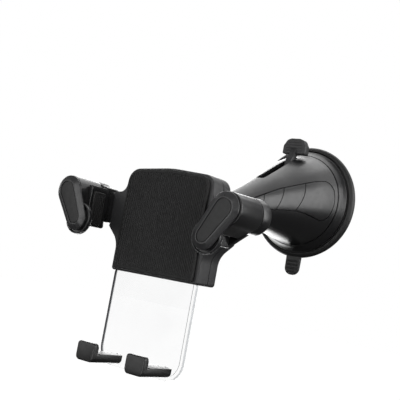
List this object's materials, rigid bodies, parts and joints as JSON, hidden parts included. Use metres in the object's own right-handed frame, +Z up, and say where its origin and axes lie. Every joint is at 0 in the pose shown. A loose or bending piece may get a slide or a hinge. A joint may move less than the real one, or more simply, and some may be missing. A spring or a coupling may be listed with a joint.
{
  "type": "car phone mount",
  "caption": "Car phone mount with a lever-locked suction cup, a flared arm, a ball joint and a head whose side arms close by the phone's own weight on a foot.",
  "frame": {"origin": "centre of the suction face, where the gel disc meets the glass", "axes": "+Y out of the suction face into the windscreen, +Z up along the held phone, +X to the right of a viewer who faces the phone's screen"},
  "size_m": [0.119, 0.1574, 0.1464],
  "materials": {
    "shell": "satin-gloss black moulding",
    "matte": "fine-grained black moulding",
    "grey": "fine-grained dark grey moulding",
    "rubber": "soft black rubber",
    "gel": "tacky dark polyurethane",
    "clear": "clear acrylic",
    "nylon": "natural low-friction nylon",
    "steel": "zinc-plated steel"
  },
  "bodies": {
    "base": {"suction_cup": "rubber", "gel_pad": "gel", "base_ring": "shell", "horn_shell": "shell", "side_panel_left": "shell", "side_panel_right": "shell", "cam_washer": "steel", "cup_spring": "steel", "ring_screw_1": "steel", "ring_screw_2": "steel", "ring_screw_3": "steel", "ball_stud": "matte", "ball_nut": "steel"},
    "stud": {"cup_stud": "matte", "lever_pin": "steel"},
    "lever": {"lever": "matte"},
    "pan_shell": {"ball_liner": "nylon"},
    "tilt_shell": {"ball_collet": "grey"},
    "head": {"rear_cover": "matte", "front_cover": "matte", "front_pad": "rubber", "cover_screw_1": "steel", "cover_screw_2": "steel", "cover_screw_3": "steel", "cover_screw_4": "steel", "return_spring_left": "steel", "return_spring_right": "steel"},
    "nut": {"lock_nut": "matte"},
    "foot": {"foot_plate": "clear", "carriage": "nylon", "foot_hook_left": "matte", "foot_hook_right": "matte", "foot_pad_left": "rubber", "foot_pad_right": "rubber", "hook_screw_left": "steel", "hook_screw_right": "steel"},
    "arm_left": {"arm_left": "shell", "arm_cap_left": "shell", "grip_pad_left": "rubber", "paddle_rim_left": "rubber", "paddle_plate_left": "grey", "paddle_inlay_left": "matte", "slide_pin_left": "steel"},
    "arm_right": {"arm_right": "shell", "arm_cap_right": "shell", "grip_pad_right": "rubber", "paddle_rim_right": "rubber", "paddle_plate_right": "grey", "paddle_inlay_right": "matte", "slide_pin_right": "steel"}
  },
  "joints": [
    {"name": "lever_hinge", "type": "hinge", "parent": "stud", "child": "lever", "pos_m": [0, -0.0255, 0], "axis": [1, 0, 0], "range_deg": [0, 60]},
    {"name": "stud_slide", "type": "slide", "parent": "base", "child": "stud", "axis": [0, 1, 0], "range_m": [0, 0.0025]},
    {"name": "ball_pan", "type": "hinge", "parent": "base", "child": "pan_shell", "pos_m": [0, -0.1075, -0.0233], "axis": [0, 0, 1], "range_deg": [-18, 18]},
    {"name": "ball_tilt", "type": "hinge", "parent": "pan_shell", "child": "tilt_shell", "pos_m": [0, -0.1075, -0.0233], "axis": [1, 0, 0], "range_deg": [-15, 30]},
    {"name": "head_spin", "type": "hinge", "parent": "tilt_shell", "child": "head", "pos_m": [0, -0.1075, -0.0233], "axis": [0, 1, 0], "continuous": true},
    {"name": "nut_turn", "type": "hinge", "parent": "head", "child": "nut", "pos_m": [0, -0.1075, -0.0233], "axis": [0, 1, 0], "range_deg": [0, 270]},
    {"name": "foot_slide", "type": "slide", "parent": "head", "child": "foot", "axis": [0, 0, 1], "range_m": [-0.0045, 0.009], "deforming": ["return_spring_left", "return_spring_right"]},
    {"name": "arm_left_slide", "type": "slide", "parent": "head", "child": "arm_left", "axis": [-1, 0, 0], "range_m": [-0.0045, 0.009]},
    {"name": "arm_right_slide", "type": "slide", "parent": "head", "child": "arm_right", "axis": [1, 0, 0], "range_m": [-0.0045, 0.009]}
  ],
  "couplings": [
    {"joint": "stud_slide", "follows": "lever_hinge", "m_per_rad": 0.0023873},
    {"joint": "arm_left_slide", "follows": "foot_slide", "ratio": 1},
    {"joint": "arm_right_slide", "follows": "foot_slide", "ratio": 1}
  ]
}
